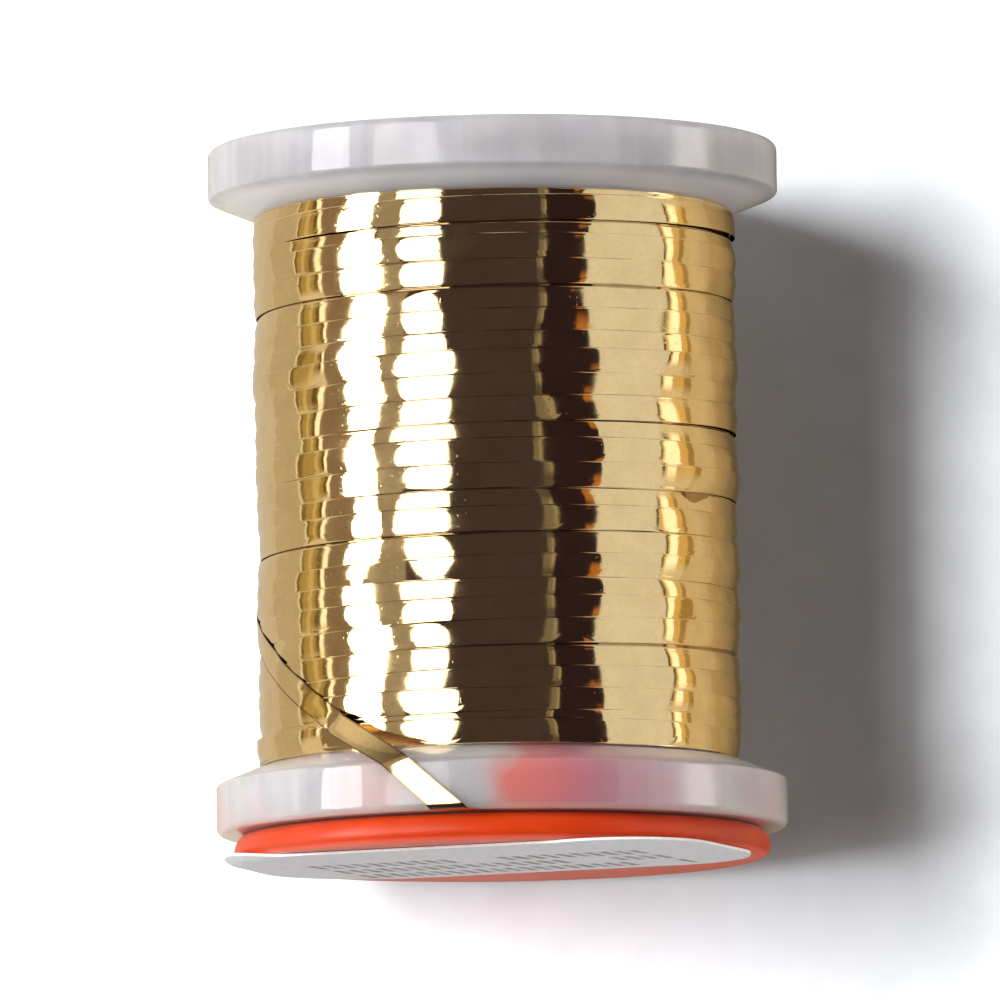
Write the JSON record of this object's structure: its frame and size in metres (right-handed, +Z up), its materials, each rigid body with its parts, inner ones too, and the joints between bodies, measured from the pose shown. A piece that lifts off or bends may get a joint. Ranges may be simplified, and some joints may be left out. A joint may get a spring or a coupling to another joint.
{
  "type": "tinsel spool",
  "caption": "Small flanged craft spool of flat gold metallised tinsel, with a snap-in end cap that pinches the loose end.",
  "frame": {"origin": "on the spool's axis, at the middle of its whole length with the cap on", "axes": "+Y along the spool's axis, from the cap to the webbed far end; +Z up, with the spool lying on its two rims"},
  "size_m": [0.0226, 0.0284, 0.0226],
  "materials": {
    "milky_plastic": "translucent milky white moulded polyolefin, satin gloss",
    "orange_plastic": "orange moulded plastic, satin",
    "label_paper": "coated label paper with faint grey printing",
    "gold_film": "mirror-bright vacuum-metallised gold polyester film",
    "clear_tape": "clear adhesive tape"
  },
  "bodies": {
    "spool": {"spool_body": "milky_plastic", "starting_tape": "clear_tape", "tinsel_winding": "gold_film", "tinsel_tail": "gold_film"},
    "cap": {"end_cap": "orange_plastic", "cap_label": "label_paper"}
  },
  "joints": [
    {"name": "cap_pull", "type": "slide", "parent": "spool", "child": "cap", "axis": [0, -1, 0], "range_m": [0, 0.012]}
  ]
}
